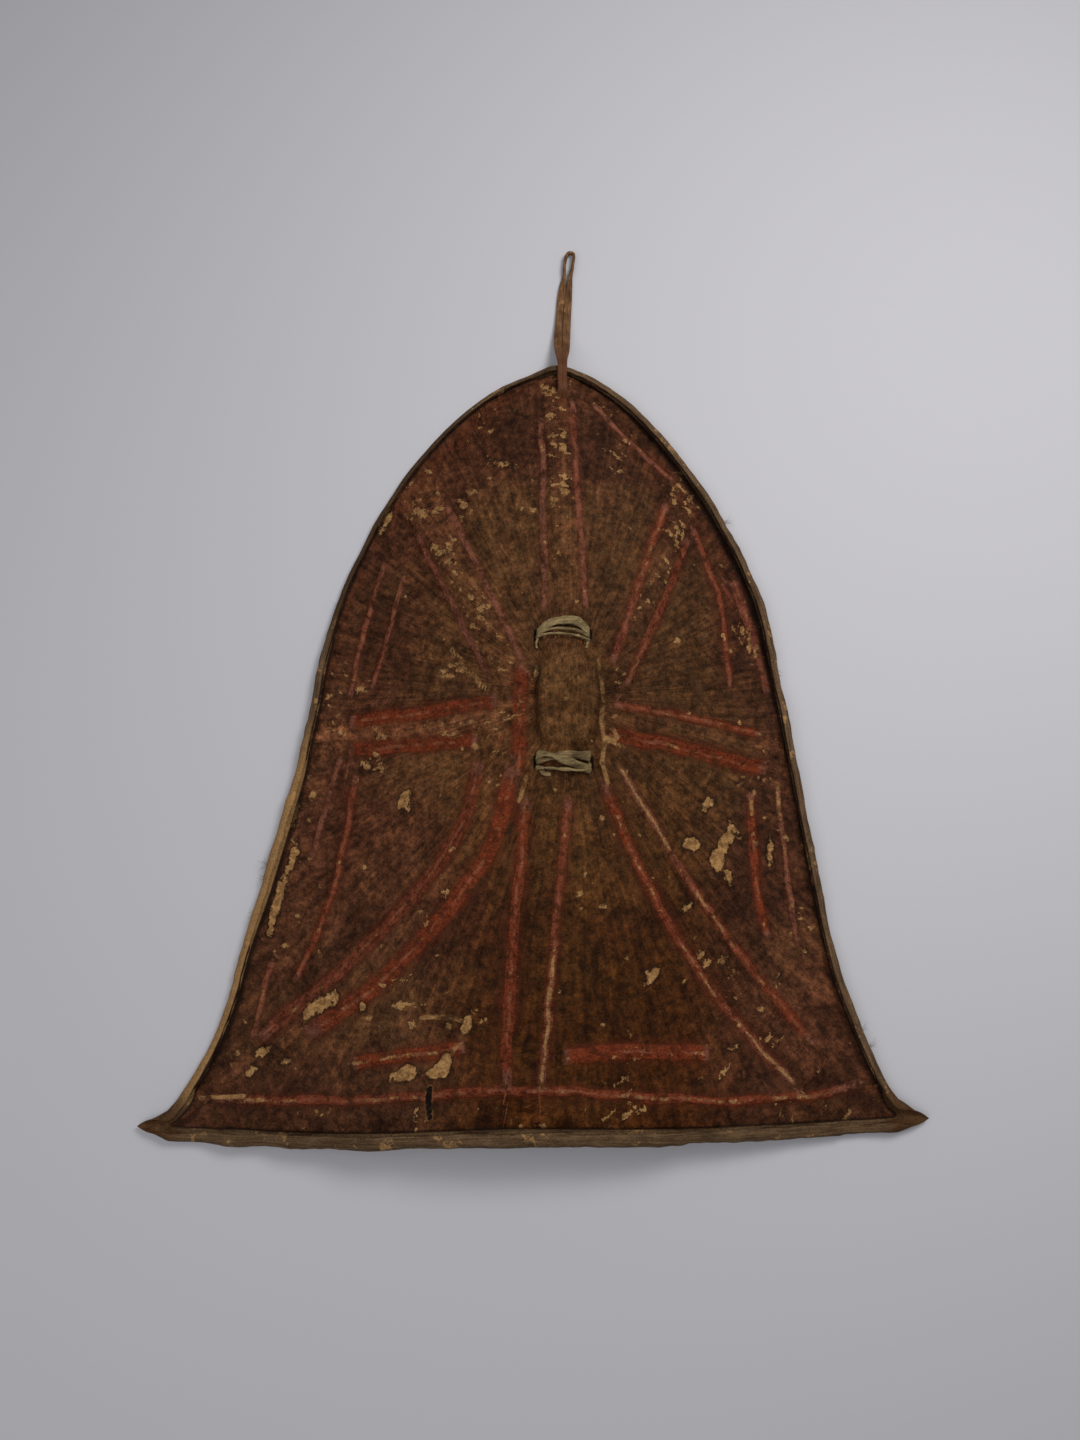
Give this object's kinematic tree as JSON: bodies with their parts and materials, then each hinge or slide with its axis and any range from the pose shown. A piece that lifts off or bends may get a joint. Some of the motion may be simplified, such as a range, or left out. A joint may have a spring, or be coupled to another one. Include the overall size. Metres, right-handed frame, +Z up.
{
  "type": "hide shield",
  "caption": "Bell-shaped shield of thick dried hide with painted ribs, a raised boss, a curled rim, a hand bar tied on behind and a rawhide hanging loop.",
  "frame": {"origin": "centre of the bounding box in plan, on the ground under the shield", "axes": "+Z up out of the painted front, +Y along the shield toward its narrow top and hanging loop, +X to the right seen from the front; it lies face up"},
  "size_m": [0.7476, 0.917, 0.0889],
  "materials": {
    "hide": "dark, waxy, with worn red lines",
    "rawhide": "hard and slightly glossy",
    "grip_hide": "polished by the hand",
    "thong_hide": "matt, greyish"
  },
  "bodies": {
    "root": {"hide": "hide", "hanging_loop": "rawhide", "grip": "grip_hide", "thong_upper": "thong_hide", "thong_lower": "thong_hide"}
  },
  "joints": []
}
